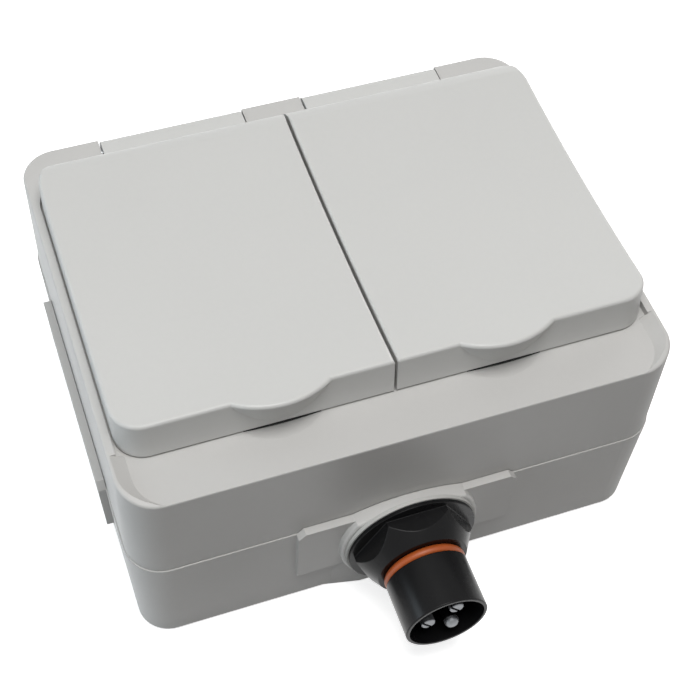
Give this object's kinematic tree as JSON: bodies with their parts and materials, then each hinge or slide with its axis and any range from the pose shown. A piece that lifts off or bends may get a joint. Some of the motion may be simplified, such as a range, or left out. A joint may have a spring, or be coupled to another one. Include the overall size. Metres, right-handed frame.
{
  "type": "double socket outlet",
  "caption": "Surface-mounted grey socket box with sprung hinged lids over round earthed sockets, and a black round panel plug with an orange seal on its lower wall.",
  "frame": {"origin": "centre of the flat back face that lies on the wall", "axes": "+X along the box to the right, +Y up the wall towards the lid hinges, +Z out of the wall; the panel plug points along -Y"},
  "size_m": [0.1548, 0.1555, 0.0811],
  "materials": {
    "housing_grey": "fine satin texture",
    "lid_grey": "fine satin texture",
    "insert_grey": "smooth",
    "black_plastic": "satin",
    "orange_rubber": "smooth",
    "pale_rubber": "smooth",
    "dark_rubber": "smooth",
    "brass": "bright",
    "nickel_silver": "silvered",
    "zinc_steel": "zinc plated",
    "brown_wire": "insulation",
    "blue_wire": "insulation",
    "green_wire": "insulation"
  },
  "bodies": {
    "box": {"back_box": "housing_grey", "cover_frame": "housing_grey", "cover_gasket": "dark_rubber", "left_hinge_pin": "zinc_steel", "right_hinge_pin": "zinc_steel", "left_lid_spring": "zinc_steel", "right_lid_spring": "zinc_steel", "left_socket_insert": "insert_grey", "right_socket_insert": "insert_grey", "left_insert_seal": "dark_rubber", "right_insert_seal": "dark_rubber", "left_earth_clip": "nickel_silver", "right_earth_clip": "nickel_silver", "line_busbar": "brass", "neutral_busbar": "brass", "earth_busbar": "brass", "terminal_screws": "zinc_steel", "cover_screws": "zinc_steel", "insert_screws": "zinc_steel", "connector_body": "black_plastic", "connector_flange_seal": "pale_rubber", "connector_o_ring": "orange_rubber", "connector_locknut": "black_plastic", "connector_pin_carrier": "black_plastic", "line_pin": "nickel_silver", "neutral_pin": "nickel_silver", "earth_pin": "nickel_silver", "line_wire": "brown_wire", "neutral_wire": "blue_wire", "earth_wire": "green_wire"},
    "left_lid": {"left_lid": "lid_grey", "left_lid_gasket": "dark_rubber"},
    "right_lid": {"right_lid": "lid_grey", "right_lid_gasket": "dark_rubber"}
  },
  "joints": [
    {"name": "left_lid_hinge", "type": "hinge", "parent": "box", "child": "left_lid", "pos_m": [-0.03025, 0.0576, 0.0686], "axis": [-1, 0, 0], "range_deg": [0, 110], "stiffness_Nm_per_rad": 0.03, "springref_deg": -34.38, "deforming": ["left_lid_spring"]},
    {"name": "right_lid_hinge", "type": "hinge", "parent": "box", "child": "right_lid", "pos_m": [0.03025, 0.0576, 0.0686], "axis": [-1, 0, 0], "range_deg": [0, 110], "stiffness_Nm_per_rad": 0.03, "springref_deg": -34.38, "deforming": ["right_lid_spring"]}
  ]
}
